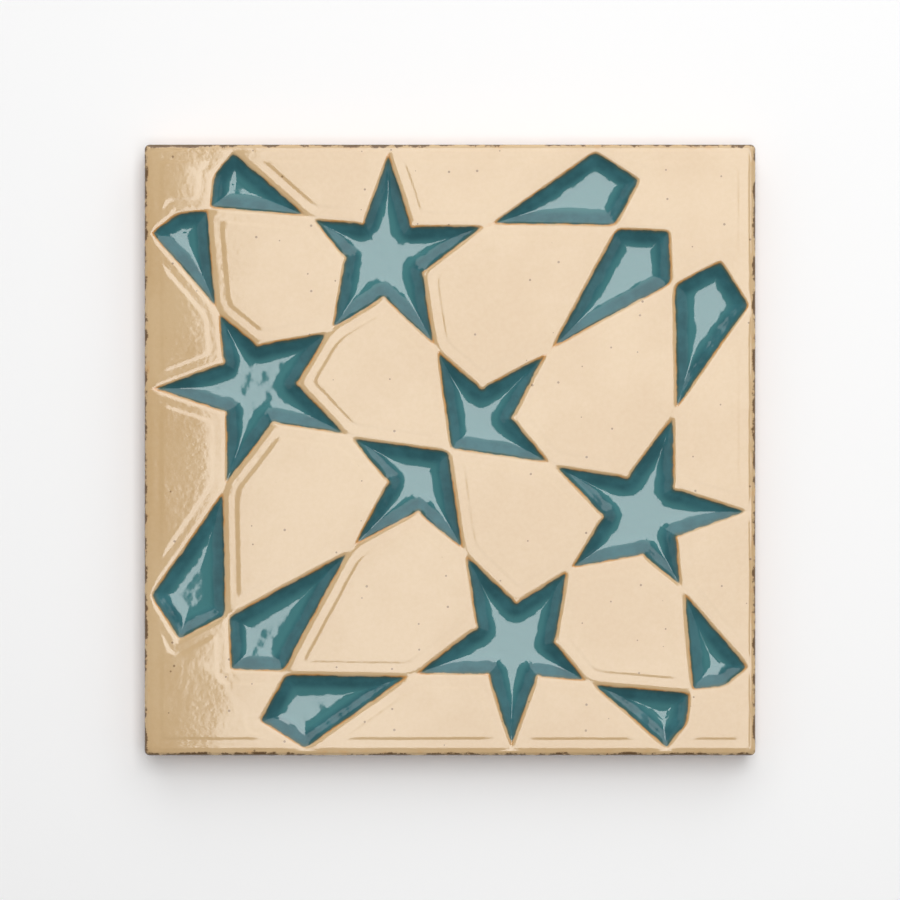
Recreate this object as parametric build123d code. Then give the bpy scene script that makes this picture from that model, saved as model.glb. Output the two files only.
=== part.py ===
"""One square relief wall tile, moulded and fired in one piece.

The face carries a quarter of a star pattern: a twelve-fold rosette is centred on two
opposite corners of the tile and an eight-fold rosette on the other two, so that like
tiles laid edge to edge complete the rosettes. Kites, tridents and five-pointed stars are
sunk into the face as bowls. The fields between them stand as low cushions.

The back lies on z = 0 and the face looks up, with the origin under the tile's middle.
"""

import os
from math import cos, radians, sin, tan

from build123d import *

# Body, in millimetres
TILE_SIDE = 200.0
THICKNESS = 14.0
CORNER_RADIUS = 1.5  # upright corners
ARRIS_RADIUS = 1.5  # rounding all round the face
FACE_BAND = 5.0  # height of the straight part of the sides, below the face
BACK_INSET = 0.8  # how far the sides lean in from the straight part to the back

# Relief, in millimetres and degrees
PATTERN_MARGIN = 1.75  # from the tile's edge to the drawing
STRAP_HALF = 0.6  # flat land between a drawn line and the lip of a bowl
BOWL_DEPTH = 3.2
WALL_SLOPE = 50.0  # steepest slope of a bowl's wall
LIP_RADIUS = 1.2
POOL_RADIUS = 5.5
CUSHION_RISE = 0.4
CUSHION_ROLL = 3.5  # width of the roll round a cushion
ARC_STEPS = 4  # flats that stand for each rounded stretch of a section

# Keying grooves in the back, in millimetres
GROOVE_COUNT = 6
GROOVE_WIDTH = 9.0
GROOVE_DEPTH = 1.2
GROOVE_LENGTH = 170.0
GROOVE_PITCH = 28.0
GROOVE_SLOPE = 30.0  # degrees that the groove's sides lean from upright

# The drawing: radii as parts of its side, and bearings in degrees from its lower edge
TWELVE_HEAD = 0.1883
TWELVE_TOUCH = 0.2585
TWELVE_SIDE_TAIL = (0.4550, 16.0)
TWELVE_MIDDLE_TAIL = (0.4753, 45.0)
TRIDENT_NOTCH = (0.5952, 41.4)
STAR_EDGE_TIP = (0.6020, 0.0)
STAR_INNER_TIP = (0.6193, 32.3)
STAR_CENTRE = (0.6329, 16.4)
STAR_NOTCH = 0.0702
STAR_NOTCH_BEARINGS = (304.0, 2.0, 87.0, 157.0, 230.0)
EIGHT_HEAD = 0.1130
EIGHT_TOUCH = 0.1389
EIGHT_TAIL = (0.2910, 157.1)
STAR_MIDDLE_TIP = (0.4265, 135.0)

drawing_side = TILE_SIDE - 2 * PATTERN_MARGIN
strap_level = THICKNESS - CUSHION_RISE
middle = Vector(0, 0)
twelve_corner = Vector(-drawing_side / 2, -drawing_side / 2)
eight_corner = Vector(drawing_side / 2, -drawing_side / 2)


def polar(centre, share, bearing):
    """The point at a radius, given as a part of the drawing's side, and a bearing."""
    angle = radians(bearing)
    return centre + Vector(cos(angle), sin(angle)) * (share * drawing_side)


def across_diagonal(point):
    """The mirror image in the diagonal that joins the twelve-fold corners."""
    return Vector(point.Y, point.X)


def across_other_diagonal(point):
    """The mirror image in the diagonal that joins the eight-fold corners."""
    return Vector(-point.Y, -point.X)


def half_turn(point):
    return Vector(-point.X, -point.Y)


def counter_clockwise(outline):
    pairs = zip(outline, outline[1:] + outline[:1])
    area = sum(a.X * b.Y - b.X * a.Y for a, b in pairs)
    return outline if area > 0 else outline[::-1]


def copies(outline, *moves):
    """The outline itself and its image under each move."""
    images = [outline] + [[move(point) for point in outline] for move in moves]
    return [counter_clockwise(image) for image in images]


def draw_pattern():
    """Outlines of the bowls and of the cushions between them, for the whole face."""
    touch_0, touch_30, touch_60, touch_90 = (
        polar(twelve_corner, TWELVE_TOUCH, bearing) for bearing in (0, 30, 60, 90)
    )
    head_15, head_45, head_75 = (
        polar(twelve_corner, TWELVE_HEAD, bearing) for bearing in (15, 45, 75)
    )
    side_tail = polar(twelve_corner, *TWELVE_SIDE_TAIL)
    middle_tail = polar(twelve_corner, *TWELVE_MIDDLE_TAIL)
    trident_notch = polar(twelve_corner, *TRIDENT_NOTCH)
    edge_tip = polar(twelve_corner, *STAR_EDGE_TIP)
    inner_tip = polar(twelve_corner, *STAR_INNER_TIP)
    middle_tip = polar(eight_corner, *STAR_MIDDLE_TIP)
    eight_tail = polar(eight_corner, *EIGHT_TAIL)
    eight_touch_edge, eight_touch_middle = (
        polar(eight_corner, EIGHT_TOUCH, bearing) for bearing in (180, 135)
    )
    eight_head = polar(eight_corner, EIGHT_HEAD, 157.5)
    star_centre = polar(twelve_corner, *STAR_CENTRE)
    notch_edge, notch_eight, notch_middle, notch_twelve, notch_tail = (
        polar(star_centre, STAR_NOTCH, bearing) for bearing in STAR_NOTCH_BEARINGS
    )

    side_kite = [head_15, touch_0, side_tail, touch_30]
    middle_kite = [head_45, touch_30, middle_tail, touch_60]
    eight_kite = [eight_touch_edge, eight_head, eight_touch_middle, eight_tail]
    trident = [
        middle_tail,
        trident_notch,
        inner_tip,
        middle,
        across_diagonal(inner_tip),
        across_diagonal(trident_notch),
    ]
    star = [
        edge_tip,
        notch_edge,
        eight_tail,
        notch_eight,
        middle_tip,
        notch_middle,
        inner_tip,
        notch_twelve,
        side_tail,
        notch_tail,
    ]
    twelve_field = [
        twelve_corner,
        touch_0,
        head_15,
        touch_30,
        head_45,
        touch_60,
        head_75,
        touch_90,
    ]
    eight_field = [
        eight_corner,
        across_other_diagonal(eight_touch_edge),
        across_other_diagonal(eight_head),
        eight_touch_middle,
        eight_head,
        eight_touch_edge,
    ]
    twelve_petal = [
        touch_30,
        side_tail,
        notch_twelve,
        inner_tip,
        trident_notch,
        middle_tail,
    ]
    twelve_edge_petal = [touch_0, edge_tip, notch_tail, side_tail]
    eight_petal = [
        eight_touch_middle,
        across_other_diagonal(eight_tail),
        across_other_diagonal(notch_eight),
        middle_tip,
        notch_eight,
        eight_tail,
    ]
    eight_edge_petal = [edge_tip, eight_touch_edge, eight_tail, notch_edge]
    central_field = [
        middle,
        inner_tip,
        notch_middle,
        middle_tip,
        across_other_diagonal(notch_middle),
        across_other_diagonal(inner_tip),
    ]

    bowls, cushions = [], []
    for outline in (side_kite, eight_kite, star):
        bowls += copies(outline, across_diagonal, across_other_diagonal, half_turn)
    for outline in (middle_kite, trident):
        bowls += copies(outline, half_turn)
    for outline in (twelve_petal, twelve_edge_petal, eight_edge_petal):
        cushions += copies(outline, across_diagonal, across_other_diagonal, half_turn)
    for outline in (twelve_field, eight_field, eight_petal, central_field):
        cushions += copies(outline, half_turn)
    return bowls, cushions


def inset(outline, distance):
    """The outline with each of its sides moved inwards by the distance."""
    moved = []
    for before, corner, after in zip(
        outline[-1:] + outline[:-1], outline, outline[1:] + outline[:1]
    ):
        side_in = (corner - before).normalized().rotate(Axis.Z, 90)
        side_out = (after - corner).normalized().rotate(Axis.Z, 90)
        reach = distance / (1 + side_in.dot(side_out))
        moved.append(corner + (side_in + side_out) * reach)
    return moved


def section(outline, distance, height):
    """The outline drawn in by a distance, as a closed wire at a height."""
    corners = [Vector(p.X, p.Y, height) for p in inset(outline, distance)]
    return Wire.make_polygon(corners, close=True)


def bowl_profile():
    """Pairs of distance in from the lip and depth: lip arc, straight wall, pool arc."""
    slope = radians(WALL_SLOPE)
    angles = [slope * step / ARC_STEPS for step in range(ARC_STEPS + 1)]
    lip = [(LIP_RADIUS * sin(a), LIP_RADIUS * (1 - cos(a))) for a in angles]
    rounded_depth = (LIP_RADIUS + POOL_RADIUS) * (1 - cos(slope))
    wall_run = (BOWL_DEPTH - rounded_depth) / tan(slope)
    floor_run = (LIP_RADIUS + POOL_RADIUS) * sin(slope) + wall_run
    pool = [
        (floor_run - POOL_RADIUS * sin(a), BOWL_DEPTH - POOL_RADIUS * (1 - cos(a)))
        for a in reversed(angles)
    ]
    return lip + pool


def bowl(outline):
    """What is sunk out of the face inside one outline."""
    mouth = section(outline, STRAP_HALF, THICKNESS)
    rings = [
        section(outline, STRAP_HALF + run, strap_level - depth)
        for run, depth in bowl_profile()
    ]
    return Solid.make_loft([mouth] + rings, ruled=True)


def cushion(outline):
    """The low pad that stands on the strap level inside one outline."""
    rings = [section(outline, 0, strap_level - CUSHION_RISE)]
    for step in range(ARC_STEPS + 1):
        angle = radians(90 * step / ARC_STEPS)
        run = CUSHION_ROLL * (1 - cos(angle))
        rings.append(section(outline, run, strap_level + CUSHION_RISE * sin(angle)))
    return Solid.make_loft(rings, ruled=True)


def blank():
    """The plain tile up to the strap level, with its leaning sides and soft arris."""
    back_side = TILE_SIDE - 2 * BACK_INSET
    band_foot = THICKNESS - FACE_BAND
    back = RectangleRounded(back_side, back_side, CORNER_RADIUS)
    band = RectangleRounded(TILE_SIDE, TILE_SIDE, CORNER_RADIUS)
    lower = loft([back, Pos(Z=band_foot) * band])
    upper = extrude(Pos(Z=band_foot) * band, strap_level - band_foot)
    arris = upper.faces().sort_by(Axis.Z)[-1].edges()
    return lower + fillet(arris, ARRIS_RADIUS)


def grooves():
    """The keying grooves that are sunk into the back."""
    narrowing = 2 * GROOVE_DEPTH * tan(radians(GROOVE_SLOPE))
    mouth = SlotOverall(GROOVE_LENGTH, GROOVE_WIDTH)
    root = SlotOverall(GROOVE_LENGTH - narrowing, GROOVE_WIDTH - narrowing)
    groove = loft([mouth, Pos(Z=GROOVE_DEPTH) * root])
    return [place * groove for place in GridLocations(0, GROOVE_PITCH, 1, GROOVE_COUNT)]


def relief_tile():
    bowls, cushions = draw_pattern()
    tile = blank()
    tile = tile.fuse(*(cushion(outline) for outline in cushions))
    tile = tile.cut(*(bowl(outline) for outline in bowls))
    return tile.cut(*grooves())


os.makedirs("parts", exist_ok=True)
export_step(relief_tile(), "parts/relief_tile.step")
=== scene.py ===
# Glazed relief tile, fired as one piece and lying face up on a pale floor.
import math

import bpy
import numpy as np
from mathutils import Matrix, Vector


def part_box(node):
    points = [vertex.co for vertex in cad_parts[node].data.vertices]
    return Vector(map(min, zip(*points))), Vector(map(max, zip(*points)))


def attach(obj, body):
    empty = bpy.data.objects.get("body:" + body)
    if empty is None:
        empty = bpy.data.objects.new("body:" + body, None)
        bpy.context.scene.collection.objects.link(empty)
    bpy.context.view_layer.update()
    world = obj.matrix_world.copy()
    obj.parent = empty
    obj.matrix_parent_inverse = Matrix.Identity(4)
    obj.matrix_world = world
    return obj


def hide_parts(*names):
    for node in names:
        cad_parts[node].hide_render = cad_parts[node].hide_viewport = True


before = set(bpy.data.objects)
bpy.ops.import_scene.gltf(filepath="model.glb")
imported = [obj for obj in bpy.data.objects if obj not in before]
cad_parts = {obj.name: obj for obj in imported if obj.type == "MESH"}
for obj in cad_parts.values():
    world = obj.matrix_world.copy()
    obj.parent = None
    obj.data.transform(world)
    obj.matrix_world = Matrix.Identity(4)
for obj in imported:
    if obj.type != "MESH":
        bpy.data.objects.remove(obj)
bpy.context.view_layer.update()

tileLow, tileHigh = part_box("relief_tile")
print("frame loaded")


def mm(value):
    return value / 1000


def hexColour(text):
    # sRGB hex to the linear numbers that shader sockets take
    levels = [int(text[i:i + 2], 16) / 255 for i in (1, 3, 5)]
    return [v / 12.92 if v <= 0.04045 else ((v + 0.055) / 1.055) ** 2.4 for v in levels] + [1]


def addNode(tree, kind, links=None, **settings):
    # links: socket name or number to a value, or to a socket of another node
    node = tree.nodes.new("ShaderNode" + kind)
    for name, value in settings.items():
        setattr(node, name, value)
    for name, value in (links or {}).items():
        if isinstance(value, bpy.types.NodeSocket):
            tree.links.new(value, node.inputs[name])
        else:
            node.inputs[name].default_value = value
    return node


def editMode(piece):
    bpy.ops.object.select_all(action="DESELECT")
    piece.select_set(True)
    bpy.context.view_layer.objects.active = piece
    bpy.ops.object.mode_set(mode="EDIT")


def objectMode():
    bpy.ops.object.mode_set(mode="OBJECT")


def joinPieces(pieces, name):
    bpy.ops.object.select_all(action="DESELECT")
    for piece in pieces:
        piece.select_set(True)
    bpy.context.view_layer.objects.active = pieces[0]
    bpy.ops.object.join()
    pieces[0].name = name
    return pieces[0]


# The drawing: radii as parts of the drawing's side, bearings in degrees from its lower edge.
# Twelve-fold rosettes sit on the lower left and upper right corners, eight-fold on the others.
drawing = {
    "margin": mm(1.75),
    "twelveHead": 0.1883,
    "twelveTouch": 0.2585,
    "sideTail": (0.4550, 16.0),
    "middleTail": (0.4753, 45.0),
    "tridentNotch": (0.5952, 41.4),
    "edgeTip": (0.6020, 0.0),
    "innerTip": (0.6193, 32.3),
    "starCentre": (0.6329, 16.4),
    "starNotch": 0.0702,
    "starNotchBearings": (304.0, 2.0, 87.0, 157.0, 230.0),
    "eightHead": 0.1130,
    "eightTouch": 0.1389,
    "eightTail": (0.2910, 157.1),
    "middleTip": (0.4265, 135.0),
}
halfTile = tileHigh.x
halfDrawing = halfTile - drawing["margin"]


def polar(centre, share, bearing):
    angle = math.radians(bearing)
    reach = share * 2 * halfDrawing
    return (centre[0] + reach * math.cos(angle), centre[1] + reach * math.sin(angle))


def sameWay(p):
    return p


def acrossTwelves(p):  # mirror in the diagonal through the twelve-fold corners
    return (p[1], p[0])


def acrossEights(p):  # mirror in the diagonal through the eight-fold corners
    return (-p[1], -p[0])


def halfTurn(p):
    return (-p[0], -p[1])


def counterClockwise(corners):
    turns = zip(corners, corners[1:] + corners[:1])
    return corners if sum(a[0] * b[1] - b[0] * a[1] for a, b in turns) > 0 else corners[::-1]


def drawPattern():
    twelve, eight, middle = (-halfDrawing, -halfDrawing), (halfDrawing, -halfDrawing), (0, 0)
    touch = {b: polar(twelve, drawing["twelveTouch"], b) for b in (0, 30, 60, 90)}
    head = {b: polar(twelve, drawing["twelveHead"], b) for b in (15, 45, 75)}
    sideTail = polar(twelve, *drawing["sideTail"])
    middleTail = polar(twelve, *drawing["middleTail"])
    tridentNotch = polar(twelve, *drawing["tridentNotch"])
    edgeTip = polar(twelve, *drawing["edgeTip"])
    innerTip = polar(twelve, *drawing["innerTip"])
    middleTip = polar(eight, *drawing["middleTip"])
    eightTail = polar(eight, *drawing["eightTail"])
    eightEdge = polar(eight, drawing["eightTouch"], 180)
    eightMiddle = polar(eight, drawing["eightTouch"], 135)
    eightHead = polar(eight, drawing["eightHead"], 157.5)
    starCentre = polar(twelve, *drawing["starCentre"])
    edgeNotch, eightNotch, middleNotch, twelveNotch, tailNotch = [
        polar(starCentre, drawing["starNotch"], b) for b in drawing["starNotchBearings"]]

    # each kind of cell: its mirrorings and its corners
    # a bowl also has how far in mm its outline can be drawn in
    fourWays = (sameWay, acrossTwelves, acrossEights, halfTurn)
    twoWays = (sameWay, halfTurn)
    bowls = [
        (11.3, fourWays, [head[15], touch[0], sideTail, touch[30]]),
        (8.1, fourWays, [eightEdge, eightHead, eightMiddle, eightTail]),
        (9.1, fourWays, [edgeTip, edgeNotch, eightTail, eightNotch, middleTip, middleNotch,
                         innerTip, twelveNotch, sideTail, tailNotch]),
        (11.6, twoWays, [head[45], touch[30], middleTail, touch[60]]),
        (9.7, twoWays, [middleTail, tridentNotch, innerTip, middle,
                        acrossTwelves(innerTip), acrossTwelves(tridentNotch)]),
    ]
    cushions = [
        (fourWays, [touch[30], sideTail, twelveNotch, innerTip, tridentNotch, middleTail]),
        (fourWays, [touch[0], edgeTip, tailNotch, sideTail]),
        (fourWays, [edgeTip, eightEdge, eightTail, edgeNotch]),
        (twoWays, [twelve, touch[0], head[15], touch[30], head[45], touch[60], head[75],
                   touch[90]]),
        (twoWays, [eight, acrossEights(eightEdge), acrossEights(eightHead), eightMiddle,
                   eightHead, eightEdge]),
        (twoWays, [eightMiddle, acrossEights(eightTail), acrossEights(eightNotch), middleTip,
                   eightNotch, eightTail]),
        (twoWays, [middle, innerTip, middleNotch, middleTip, acrossEights(middleNotch),
                   acrossEights(innerTip)]),
    ]

    def copies(ways, corners):
        return [counterClockwise([way(p) for p in corners]) for way in ways]

    bowlGroups = [(limit, copies(ways, corners)) for limit, ways, corners in bowls]
    return bowlGroups, [copies(ways, corners) for ways, corners in cushions]


# Glazed tile, millimetres over the level of the drawn lines unless a name says otherwise
tile = {
    "cushionRise": 0.4,
    "stepsAlong": 12,  # cuts along each drawn side, doubled inside the bowls
    # rings of mesh round a cell, by their distance from the drawn line
    "bowlRings": [0.2, 0.4, 0.6, 0.8, 1.0, 1.2, 1.5, 1.9],
    "poolRingStart": 2.4,
    "poolRingSpacing": 0.55,
    "poolRingShare": 0.88,  # of how far the outline can be drawn in
    "cushionRings": [0.2, 0.4, 0.7, 1.0, 1.3, 2.2, 3.1, 3.4, 3.7, 4.0, 4.3, 4.6, 4.95],
    "weldGap": 0.02,
    "lastWeldGap": 0.005,
    "shoulderSlope": 9,  # degrees, where the glaze rolls over a drawn line
    "wallSlope": 40,
    "lipRadius": 1.3,
    "poolRadius": 11.0,
    "bowlDepth": 3.2,
    "ease": 0.4,  # rounding where two walls of a bowl meet
    "poolPasses": 4,  # softening of the glaze inside a bowl
    "softenFrom": 1.5,
    "rimWidth": 1.2,  # rounded rim of a cushion
    "rimRise": 0.1,
    "beadStart": 3.2,  # low bead of glaze inside the rim
    "beadWidth": 1.5,
    "beadRise": 0.085,
    "wander": 0.25,  # hand-cut wander of the drawn lines
    "wanderSize": 14,
    "arrisRadius": 1.5,
    "cornerRadius": 1.5,
    "faceBand": 5.0,  # straight part of the sides
    "backInset": 0.8,
    "backChamfer": 0.4,
    "grooveCount": 6,
    "groovePitch": 28.0,
    "grooveWidth": 9.0,
    "grooveLength": 170.0,
    "grooveDepth": 1.2,
    "grooveLean": 0.7,  # how far a groove's sides come in at its root
}
lineLevel = tileHigh.z - mm(tile["cushionRise"])
glazeFoot = tileHigh.z - mm(tile["faceBand"])


def bowlSection():
    # distances from the drawn line and heights: shoulder arc, wall, pool arc, floor
    start, slope = math.radians(tile["shoulderSlope"]), math.radians(tile["wallSlope"])
    lip, pool, depth = tile["lipRadius"], tile["poolRadius"], tile["bowlDepth"]
    shares = np.linspace(0, 1, 30)
    shoulder = start + (slope - start) * shares
    runs = lip * (np.sin(shoulder) - math.sin(start))
    heights = lip * (np.cos(shoulder) - math.cos(start))
    wallRun = (depth + heights[-1] - pool * (1 - math.cos(slope))) / math.tan(slope)
    floorRun = runs[-1] + wallRun + pool * math.sin(slope)
    sweep = slope * (1 - shares)
    runs = np.concatenate([runs, floorRun - pool * np.sin(sweep)])
    heights = np.concatenate([heights, pool * (1 - np.cos(sweep)) - depth])
    return runs, heights


def cushionSection():
    # the same for the rounded rim, a level stretch and the bead up to the flat field
    runs = np.linspace(0, tile["beadStart"] + tile["beadWidth"], 60)
    across = np.clip(runs / tile["rimWidth"], 0, 1)
    up = np.clip((runs - tile["beadStart"]) / tile["beadWidth"], 0, 1)
    rim = tile["rimRise"] * (1 - (1 - across) ** 2)
    return runs, rim + tile["beadRise"] * up * up * (3 - 2 * up)


def drawCells(name, outlines):
    # each cell starts as a filled circle whose corners go to the drawn points
    cells = []
    for corners in outlines:
        bpy.ops.object.select_all(action="DESELECT")
        bpy.ops.mesh.primitive_circle_add(vertices=len(corners), fill_type="NGON", radius=halfTile)
        cell = bpy.context.object
        for vertex, corner in zip(cell.data.vertices, corners):
            vertex.co = (corner[0], corner[1], lineLevel)
        cell.data.update()
        cells.append(cell)
    print(name, len(cells), "cells")
    return joinPieces(cells, name)


def insetRings(piece, runs, side):
    # insets every cell ring by ring, and notes each ring's distance from the drawn line
    piece.data.attributes.new("lineDistance", "FLOAT", "POINT")
    editMode(piece)
    bpy.ops.mesh.select_all(action="SELECT")
    lastRun = 0
    for run in runs:
        bpy.ops.mesh.inset(thickness=mm(run - lastRun), depth=0, use_even_offset=True,
                           use_individual=True)
        objectMode()
        distances = piece.data.attributes["lineDistance"].data
        for vertex in piece.data.vertices:
            if vertex.select:
                distances[vertex.index].value = side * run
        bpy.ops.object.mode_set(mode="EDIT")
        lastRun = run
    objectMode()
    return piece


def lineDistances(points, sides):
    # distance in mm to the nearest drawn line, eased where two lines are about as near
    nearness = np.zeros(len(points))
    for start, end in sides:
        start, reach = np.array(start), np.subtract(end, start)
        along = np.clip((points - start) @ reach / (reach @ reach), 0, 1)
        gaps = np.linalg.norm(points - start - along[:, None] * reach, axis=1)
        nearness += np.exp(-gaps / mm(tile["ease"]))
    return np.maximum(0, -tile["ease"] * np.log(nearness))


def applyModifier(piece, kind, **settings):
    bpy.ops.object.select_all(action="DESELECT")
    piece.select_set(True)
    bpy.context.view_layer.objects.active = piece
    modifier = piece.modifiers.new(kind.title(), kind)
    for name, value in settings.items():
        setattr(modifier, name, value)
    bpy.ops.object.modifier_apply(modifier=modifier.name)


def selectPoints(piece, chosen):
    editMode(piece)
    bpy.ops.mesh.select_mode(type="VERT")
    bpy.ops.mesh.select_all(action="DESELECT")
    objectMode()
    piece.data.vertices.foreach_set("select", chosen)
    bpy.ops.object.mode_set(mode="EDIT")


def selectEdges(piece, wanted):
    # leaves the edges selected for which wanted(first end, second end) is true
    bpy.ops.mesh.select_mode(type="EDGE")
    bpy.ops.mesh.select_all(action="DESELECT")
    objectMode()
    points = piece.data.vertices
    for edge in piece.data.edges:
        edge.select = wanted(points[edge.vertices[0]], points[edge.vertices[1]])
    bpy.ops.object.mode_set(mode="EDIT")


def modelFace():
    bowlGroups, cushionGroups = drawPattern()
    pieces = []
    for limit, outlines in bowlGroups:
        poolRings = np.arange(tile["poolRingStart"], tile["poolRingShare"] * limit,
                              tile["poolRingSpacing"])
        runs = tile["bowlRings"] + list(poolRings)
        pieces.append(insetRings(drawCells("bowls", outlines), runs, 1))
    for outlines in cushionGroups:
        pieces.append(insetRings(drawCells("cushions", outlines), tile["cushionRings"], -1))
    face = joinPieces(pieces, "glazedTile")
    editMode(face)
    bpy.ops.mesh.select_all(action="SELECT")
    bpy.ops.mesh.remove_doubles(threshold=mm(tile["weldGap"]))
    objectMode()
    # every ring is cut along its sides, and those inside a bowl once more
    everywhere, insideBowls = -10, 0.3
    for start, cuts in ((everywhere, tile["stepsAlong"]), (insideBowls, 1)):
        distances = [item.value for item in face.data.attributes["lineDistance"].data]
        editMode(face)
        selectEdges(face, lambda a, b: abs(distances[a.index] - distances[b.index]) < 1e-4
                    and distances[a.index] > start)
        bpy.ops.mesh.subdivide(number_cuts=cuts)
        objectMode()

    corners = [(-halfDrawing, -halfDrawing), (halfDrawing, -halfDrawing),
               (halfDrawing, halfDrawing), (-halfDrawing, halfDrawing)]
    outlines = [corners] + [outline for limit, group in bowlGroups for outline in group]
    sides = [side for outline in outlines for side in zip(outline, outline[1:] + outline[:1])]
    points = np.array([vertex.co[:2] for vertex in face.data.vertices])
    marks = face.data.attributes["lineDistance"].data
    inBowl = np.array([mark.value > 0 for mark in marks])
    reach = lineDistances(points, sides)
    heights = np.where(inBowl, np.interp(reach, *bowlSection()),
                       np.interp(reach, *cushionSection()))
    for vertex, mark, height, distance, sunk in zip(face.data.vertices, marks, heights,
                                                    reach, inBowl):
        vertex.co.z = lineLevel + mm(height)
        mark.value = distance if sunk else -distance
    selectPoints(face, inBowl & (reach > tile["softenFrom"]))
    bpy.ops.mesh.vertices_smooth(factor=0.5, repeat=tile["poolPasses"],
                                 xaxis=False, yaxis=False, zaxis=True)
    objectMode()
    print("face", len(face.data.polygons), "faces")
    return face


def wanderLines(face):
    # the lines drift a little, as cut by hand; the outermost points stay on the drawing's edge
    inside = face.vertex_groups.new(name="inside")
    limit = halfDrawing - mm(0.01)
    inside.add([v.index for v in face.data.vertices
                if max(abs(v.co.x), abs(v.co.y)) < limit], 1.0, "ADD")
    for axis in "XY":
        clouds = bpy.data.textures.new("wander" + axis, "CLOUDS")
        clouds.noise_scale = mm(tile["wanderSize"])
        clouds.noise_basis = "BLENDER_ORIGINAL" if axis == "X" else "IMPROVED_PERLIN"
        applyModifier(face, "DISPLACE", texture=clouds, texture_coords="LOCAL", direction=axis,
                      strength=mm(tile["wander"]) * 2, mid_level=0.5, vertex_group="inside")
    face.vertex_groups.clear()


def sideRings():
    # half width and height of the rings from the drawing's edge round to the back
    arris = mm(tile["arrisRadius"])
    rings = []
    for degrees in (0, 18, 36, 54, 72, 90):
        angle = math.radians(degrees)
        rings.append((halfTile - arris + arris * math.sin(angle),
                      lineLevel - arris + arris * math.cos(angle)))
    arrisFoot = rings[-1][1]
    backHalf, chamfer = halfTile - mm(tile["backInset"]), mm(tile["backChamfer"])
    for share in (0.5, 1):
        rings.append((halfTile, arrisFoot + (glazeFoot - arrisFoot) * share))
    for share in (0.33, 0.66, 1):
        rings.append((halfTile + (backHalf - halfTile) * share,
                      glazeFoot + (chamfer - glazeFoot) * share))
    rings.append((backHalf - chamfer, tileLow.z))
    return rings


def modelSides(face):
    editMode(face)
    bpy.ops.mesh.select_mode(type="EDGE")
    bpy.ops.mesh.select_all(action="SELECT")
    bpy.ops.mesh.region_to_loop()
    lastHalf, lastHeight = halfDrawing, lineLevel
    for half, height in sideRings():
        drop, growth = height - lastHeight, half / lastHalf
        bpy.ops.mesh.extrude_region_move(TRANSFORM_OT_translate={"value": (0, 0, drop)})
        bpy.ops.transform.resize(value=(growth, growth, 1), center_override=(0, 0, 0))
        lastHalf, lastHeight = half, height
    bpy.ops.mesh.edge_face_add()
    # the upright edges at the four corners are rounded
    cornerStart = halfDrawing + mm(0.05) - mm(tile["backInset"])

    def onCorner(v):
        across, along = abs(v.co.x), abs(v.co.y)
        return min(across, along) > cornerStart and abs(across - along) < mm(0.01)

    selectEdges(face, lambda a, b: onCorner(a) and onCorner(b))
    bpy.ops.mesh.bevel(offset=mm(tile["cornerRadius"]), offset_type="OFFSET", segments=4,
                       affect="EDGES", clamp_overlap=True)
    objectMode()
    print("sides", len(face.data.polygons), "faces")


def modelGrooves(face):
    # cuts across the back mark the grooves, whose faces are rounded at the ends and sunk
    count, width = tile["grooveCount"], mm(tile["grooveWidth"])
    reach = mm(tile["grooveLength"]) / 2
    middles = [mm(tile["groovePitch"]) * (i - (count - 1) / 2) for i in range(count)]
    editMode(face)
    bpy.ops.mesh.select_mode(type="FACE")

    def selectBack(wanted):
        bpy.ops.mesh.select_all(action="DESELECT")
        objectMode()
        for polygon in face.data.polygons:
            onBack = polygon.normal.z < -0.99 and polygon.center.z < tileLow.z + mm(0.1)
            polygon.select = onBack and wanted(polygon.center)
        bpy.ops.object.mode_set(mode="EDIT")

    for middle in middles:
        for edge in (middle - width / 2, middle + width / 2):
            selectBack(lambda centre: True)
            bpy.ops.mesh.bisect(plane_co=(0, edge, 0), plane_no=(0, 1, 0))
    for end in (-reach, reach):
        selectBack(lambda centre: min(abs(centre.y - m) for m in middles) < width / 4)
        bpy.ops.mesh.bisect(plane_co=(end, 0, 0), plane_no=(1, 0, 0))
    selectBack(lambda centre: abs(centre.x) < reach / 2
               and min(abs(centre.y - m) for m in middles) < width / 4)
    bpy.ops.mesh.bevel(offset=width / 2 * 0.98, segments=6, affect="VERTICES", clamp_overlap=True)
    selectBack(lambda centre: abs(centre.x) < reach / 2
               and min(abs(centre.y - m) for m in middles) < width / 4)
    bpy.ops.mesh.inset(thickness=mm(tile["grooveLean"]), depth=-mm(tile["grooveDepth"]),
                       use_even_offset=True, use_individual=True)
    objectMode()
    print("grooves", count)


def finishMesh(face):
    editMode(face)
    bpy.ops.mesh.select_mode(type="FACE")
    bpy.ops.mesh.select_all(action="SELECT")
    bpy.ops.mesh.remove_doubles(threshold=mm(tile["lastWeldGap"]))
    bpy.ops.mesh.normals_make_consistent(inside=False)
    bpy.ops.mesh.quads_convert_to_tris(quad_method="BEAUTY", ngon_method="BEAUTY")
    objectMode()
    bpy.ops.object.shade_smooth_by_angle(angle=math.radians(40))
    print("tile", len(face.data.polygons), "triangles")


glazedTile = modelFace()
wanderLines(glazedTile)
modelSides(glazedTile)
modelGrooves(glazedTile)
finishMesh(glazedTile)


# Bare fired clay, pressed in a mould: dry, matt and sandy, darker in random patches
clay = {
    "buff": "#B98C63",
    "dark": "#9A6D48",
    "roughness": 0.9,
    "patchSize": 18,
    "grainSize": 1.2,
    "grainHeight": 0.05,
}
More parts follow.
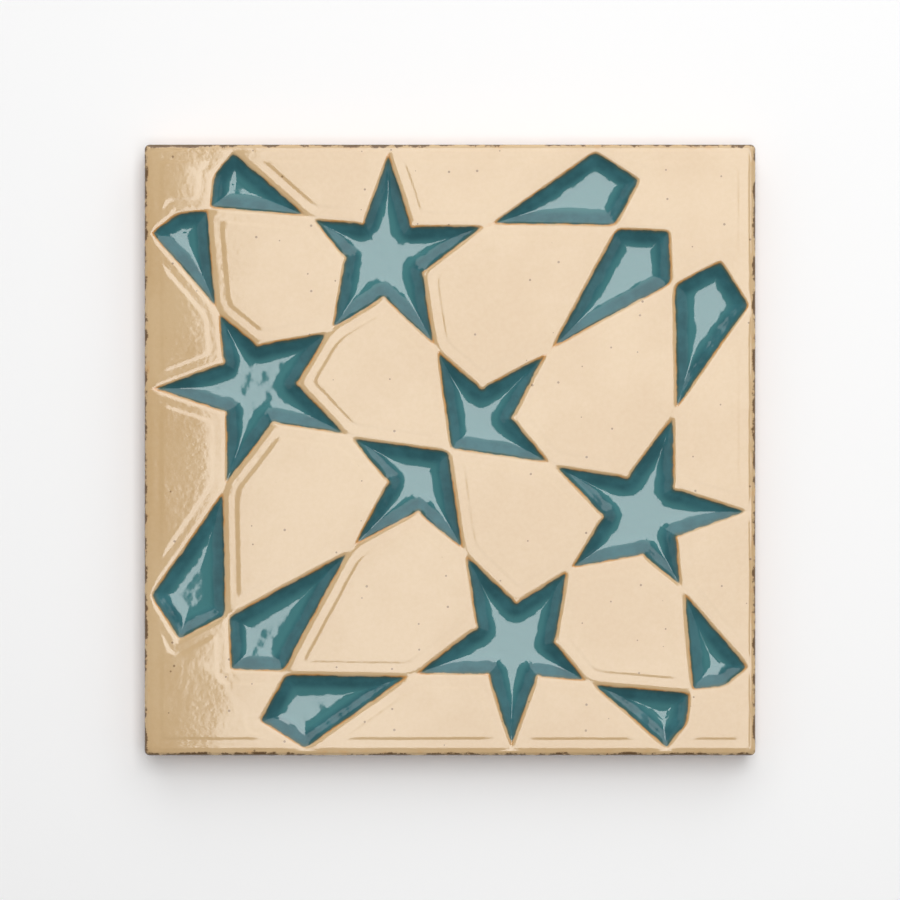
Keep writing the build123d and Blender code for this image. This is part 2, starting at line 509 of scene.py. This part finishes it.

# Tin-white base glaze fired to honey cream, with copper teal pooled in the bowls:
# both are gloss glass, wavy and finely dimpled, so the cream mirrors a soft-edged window and
# the teal goes from dark on its shaded walls to pale where the pools mirror the light,
# helped by a lighter teal painted into the pool floors as painted reflection.
# Sizes of noise, distances from the drawn line and heights are in millimetres.
glaze = {
    "cream": "#D1B48B",
    "creamWarm": "#C9A97D",
    "lip": "#CB9252",
    # olive fringe where thin teal meets the cream, darkened as painted shade under the lip
    "fringeAndShade": "#4F6152",
    "teal": "#396E75",
    "tealDeep": "#2D5C63",
    # lighter, greener teal for the bowl floors: painted reflection of the light the pools mirror
    "tealPoolPaintedSheen": "#437A7D",
    "edgeBrown": "#5B3F22",
    "pinhole": "#75552F",
    "pinholeSpacing": 9,
    "driftSize": 4,
    "cloudSize": 38,
    "speckSize": 1.5,
    "lipPatchSize": 9,
    "tealPatchSize": 8,
    "fringeAndShadePatchSize": 3,
    "wornSize": 6,
    "wornReach": 0.8,
    "runSize": 9,
    "runReach": 1.3,
    "lipBand": (0.0, 0.5),
    "tealBand": (0.4, 0.9),
    "fringeAndShadeBand": (1.7, 0.7),
    "poolPaintedSheenBand": (3.5, 6),
    "wobbleBand": (1.0, 3.0),
    "roughness": 0.09,
    "ior": 1.6,
    "waveSize": 42,
    "waveHeight": 0.10,
    "rippleSize": 11,
    "rippleHeight": 0.008,
    "dimpleSize": 1.8,
    "dimpleHeight": 0.005,
    "poolSize": 6,
    "poolHeight": 0.07,
}


def glazeMaterial():
    material = bpy.data.materials.new("gloss glaze, cream and teal")
    material.use_nodes = True
    tree = material.node_tree
    tree.nodes.clear()
    place = addNode(tree, "TexCoord").outputs["Object"]
    line = addNode(tree, "Attribute", attribute_name="lineDistance").outputs["Fac"]

    def noise(size, detail=2.0, roughness=0.5):
        return addNode(tree, "TexNoise", {"Vector": place, "Scale": 1 / mm(size), "Detail": detail,
                                          "Roughness": roughness}).outputs["Fac"]

    def ramp(value, start, end, low=0.0, high=1.0):
        return addNode(tree, "MapRange", {"Value": value, "From Min": start, "From Max": end,
                                          "To Min": low, "To Max": high},
                       interpolation_type="SMOOTHSTEP").outputs["Result"]

    def combine(operation, a, b):
        return addNode(tree, "Math", {0: a, 1: b}, operation=operation).outputs["Value"]

    def blend(factor, a, b):
        return addNode(tree, "Mix", {"Factor": factor, 6: a, 7: b}, data_type="RGBA").outputs[2]

    drift = ramp(noise(glaze["driftSize"], 3), 0.25, 0.75, -0.2, 0.2)
    edge = combine("ADD", line, drift)
    clouds = combine("ADD", ramp(noise(glaze["cloudSize"], 4, 0.6), 0.35, 0.65, 0, 0.7),
                     ramp(noise(glaze["speckSize"], 4, 0.7), 0.3, 0.7, 0, 0.3))
    cream = blend(clouds, hexColour(glaze["cream"]), hexColour(glaze["creamWarm"]))
    lipBand = combine("MULTIPLY", ramp(edge, *glaze["lipBand"]),
                      ramp(noise(glaze["lipPatchSize"], 2), 0.38, 0.62, 0.05, 1.0))
    cream = blend(lipBand, cream, hexColour(glaze["lip"]))
    tealPatches = ramp(noise(glaze["tealPatchSize"], 4, 0.6), 0.3, 0.7)
    teal = blend(tealPatches, hexColour(glaze["teal"]), hexColour(glaze["tealDeep"]))
    # the bowl floors get the lighter teal: a painted reflection added to the one the lamps give
    teal = blend(ramp(line, *glaze["poolPaintedSheenBand"]), teal, hexColour(glaze["tealPoolPaintedSheen"]))
    # olive fringe at the top of each bowl wall: partly the glaze's own colour, partly painted
    # shade under the lip
    fringeAndShade = combine("MULTIPLY", ramp(edge, *glaze["fringeAndShadeBand"]),
                     ramp(noise(glaze["fringeAndShadePatchSize"], 2), 0.3, 0.6, 0.35, 1.0))
    teal = blend(fringeAndShade, teal, hexColour(glaze["fringeAndShade"]))
    colour = blend(ramp(edge, *glaze["tealBand"]), cream, teal)

    # pinholes: one place in each cell of a scatter, of which about half hold a small brown pit
    scatter = addNode(tree, "TexVoronoi",
                      {"Vector": place, "Scale": 1 / mm(glaze["pinholeSpacing"])},
                      voronoi_dimensions="2D")
    chance = addNode(tree, "SeparateColor", {"Color": scatter.outputs["Color"]}).outputs["Red"]
    pits = combine("SUBTRACT", ramp(chance, 0.5, 1.0, 0, 0.055), scatter.outputs["Distance"])
    pits = combine("MULTIPLY", ramp(pits, 0, 0.02, 0, 0.75), ramp(line, 0.4, 0))
    colour = blend(pits, colour, hexColour(glaze["pinhole"]))

    axes = addNode(tree, "SeparateXYZ", {"Vector": place})
    outward = combine("MAXIMUM", combine("ABSOLUTE", axes.outputs["X"], 0),
                      combine("ABSOLUTE", axes.outputs["Y"], 0))
    # the glaze is worn to brown in patches along the arris
    wornReach = mm(glaze["wornReach"])
    worn = combine("ADD", outward,
                   ramp(noise(glaze["wornSize"], 6, 0.75), 0.35, 0.65, -wornReach, wornReach))
    worn = combine("MULTIPLY", ramp(worn, halfTile - mm(0.8), halfTile - mm(0.3), 0, 0.9),
                   ramp(axes.outputs["Z"], lineLevel - mm(3), lineLevel - mm(1.4)))
    colour = blend(worn, colour, hexColour(glaze["edgeBrown"]))

    # the glaze stops short of the clay's edge on the sides, in an uneven line
    runReach = mm(glaze["runReach"])
    runDown = combine("ADD", axes.outputs["Z"],
                      ramp(noise(glaze["runSize"], 3), 0.3, 0.7, -runReach, runReach))
    bare = combine("MULTIPLY", ramp(runDown, glazeFoot + mm(1.7), glazeFoot + mm(1.4)),
                   combine("GREATER_THAN", outward, halfTile - mm(0.5)))
    colour = blend(bare, colour, hexColour(clay["buff"]))
    roughness = combine("ADD", combine("MULTIPLY", bare, clay["roughness"] - glaze["roughness"]),
                        glaze["roughness"])

    wobble = combine("MULTIPLY", noise(glaze["poolSize"], 1.0), ramp(line, *glaze["wobbleBand"]))
    heights = [(noise(glaze["waveSize"], 1.0), glaze["waveHeight"]),
               (noise(glaze["rippleSize"], 1.0), glaze["rippleHeight"]),
               (noise(glaze["dimpleSize"], 1.0), glaze["dimpleHeight"]),
               (wobble, glaze["poolHeight"])]
    normal = None
    for relief, height in heights:
        links = {"Height": relief, "Distance": mm(height) * 4, "Strength": 1.0}
        if normal:
            links["Normal"] = normal
        normal = addNode(tree, "Bump", links).outputs["Normal"]
    shader = addNode(tree, "BsdfPrincipled", {"Base Color": colour, "Roughness": roughness,
                                              "IOR": glaze["ior"], "Normal": normal})
    addNode(tree, "OutputMaterial", {"Surface": shader.outputs["BSDF"]})
    return material


def clayMaterial():
    material = bpy.data.materials.new("bare fired clay")
    material.use_nodes = True
    tree = material.node_tree
    tree.nodes.clear()
    place = addNode(tree, "TexCoord").outputs["Object"]
    patches = addNode(tree, "TexNoise", {"Vector": place, "Scale": 1 / mm(clay["patchSize"]),
                                         "Detail": 5.0})
    grain = addNode(tree, "TexNoise", {"Vector": place, "Scale": 1 / mm(clay["grainSize"]),
                                       "Detail": 3.0})
    colour = addNode(tree, "Mix", {"Factor": patches.outputs["Fac"], 6: hexColour(clay["buff"]),
                                   7: hexColour(clay["dark"])}, data_type="RGBA")
    bump = addNode(tree, "Bump", {"Height": grain.outputs["Fac"],
                                  "Distance": mm(clay["grainHeight"]) * 4})
    shader = addNode(tree, "BsdfPrincipled", {"Base Color": colour.outputs[2],
                                              "Roughness": clay["roughness"],
                                              "Normal": bump.outputs["Normal"]})
    addNode(tree, "OutputMaterial", {"Surface": shader.outputs["BSDF"]})
    return material


def dressTile(piece):
    piece.data.materials.clear()
    piece.data.materials.append(glazeMaterial())
    piece.data.materials.append(clayMaterial())
    for polygon in piece.data.polygons:
        polygon.material_index = 0 if polygon.center.z > glazeFoot else 1
    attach(piece, "root")
    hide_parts("relief_tile")


dressTile(glazedTile)
print("glazes and clay on")

# Floor, lamps and camera, in metres
studio = {
    "floorSize": 8.0,
    "floorColour": "#FAFAFA",
    "lens": 120,
    "sensor": 36,
    "tileShare": 0.68,  # of the picture's width
    # name, place, what it faces, width, depth and power in watts
    "lamps": [
        ("window", (0.115, 0.18, 1.15), (0.115, 0.18, 0), 0.57, 1.0, 8.8),
        ("sky", (0.2, 2.2, 1.6), (0, 0, 0), 4.0, 2.4, 44),
        ("leftFill", (-2.0, 0.2, 1.2), (0, 0, 0), 2.4, 1.4, 4),
        ("rightFill", (2.0, 0.2, 1.2), (0, 0, 0), 2.4, 1.4, 4),
    ],
    "worldStrength": 0.13,
}


def makeFloor():
    bpy.ops.object.select_all(action="DESELECT")
    bpy.ops.mesh.primitive_plane_add(size=studio["floorSize"])
    floor = bpy.context.object
    floor.name = "floor"
    material = bpy.data.materials.new("pale floor")
    material.use_nodes = True
    shader = material.node_tree.nodes["Principled BSDF"]
    shader.inputs["Base Color"].default_value = hexColour(studio["floorColour"])
    shader.inputs["Roughness"].default_value = 1.0
    shader.inputs["Specular IOR Level"].default_value = 0.0
    floor.data.materials.append(material)


def makeLights():
    # a window that the face mirrors, short on the left, and softer light from beyond the top edge
    for name, place, target, width, depth, power in studio["lamps"]:
        aim = (Vector(target) - Vector(place)).to_track_quat("-Z", "Y").to_euler()
        bpy.ops.object.light_add(type="AREA", location=place, rotation=aim)
        lamp = bpy.context.object
        lamp.name = name
        lamp.data.shape = "RECTANGLE"
        lamp.data.size, lamp.data.size_y = width, depth
        lamp.data.energy = power
        lamp.visible_camera = False
    world = bpy.data.worlds.new("room")
    bpy.context.scene.world = world
    world.use_nodes = True
    world.node_tree.nodes["Background"].inputs["Color"].default_value = (1, 1, 1, 1)
    world.node_tree.nodes["Background"].inputs["Strength"].default_value = studio["worldStrength"]


def makeCamera():
    span = 2 * halfTile / studio["tileShare"]
    distance = span * studio["lens"] / studio["sensor"]
    bpy.ops.object.camera_add(location=(0, 0, tileHigh.z + distance), rotation=(0, 0, 0))
    camera = bpy.context.object
    camera.data.lens = studio["lens"]
    camera.data.sensor_width = studio["sensor"]
    bpy.context.scene.camera = camera
    print("camera", round(distance, 3), "m over the face")


makeFloor()
makeLights()
makeCamera()
bpy.context.scene.view_settings.view_transform = "Standard"
